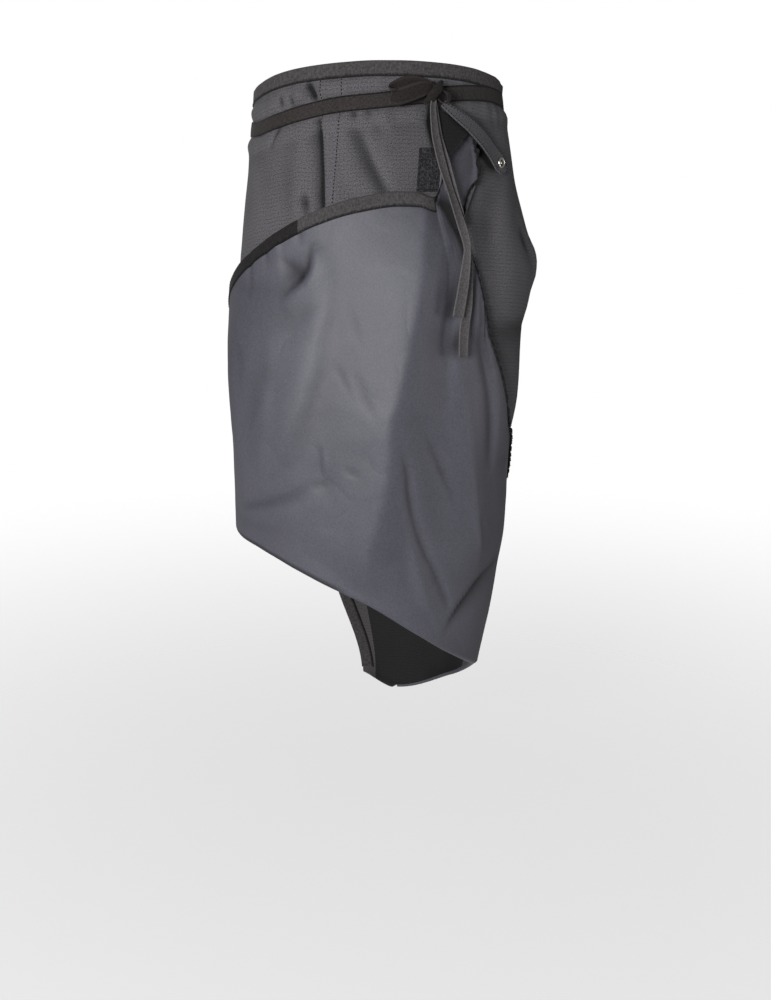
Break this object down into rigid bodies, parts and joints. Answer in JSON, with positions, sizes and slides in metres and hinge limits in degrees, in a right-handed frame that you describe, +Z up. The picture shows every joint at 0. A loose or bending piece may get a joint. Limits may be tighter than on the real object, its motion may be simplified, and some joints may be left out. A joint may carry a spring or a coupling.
{
  "type": "driving apron",
  "caption": "Wrap-around driving apron of coated cloth, tied at the waist with a bow, its lower corner turned up across the front and held at the hip by a studded tab",
  "frame": {"origin": "the middle of the waist, level with the tie at the front", "axes": "+Z up, the front towards -Y, +X towards the wearer's left"},
  "size_m": [0.3914, 0.3144, 0.886],
  "materials": {
    "cloth": "matt ripstop, coated inside",
    "tape": "woven tape",
    "patch": "hook-and-loop pile",
    "stud": "bright"
  },
  "bodies": {
    "root": {"apron_cloth": "cloth", "waist_binding": "tape", "lap_binding": "tape", "right_edge_binding": "tape", "left_edge_binding": "tape", "waist_tie": "tape", "tie_knot": "tape", "bow_loop": "tape", "bow_loop_small": "tape", "tie_tail_short": "tape", "tie_tail_long": "tape", "fastening_patch": "patch", "hip_tab": "cloth", "snap_stud": "stud"}
  },
  "joints": []
}
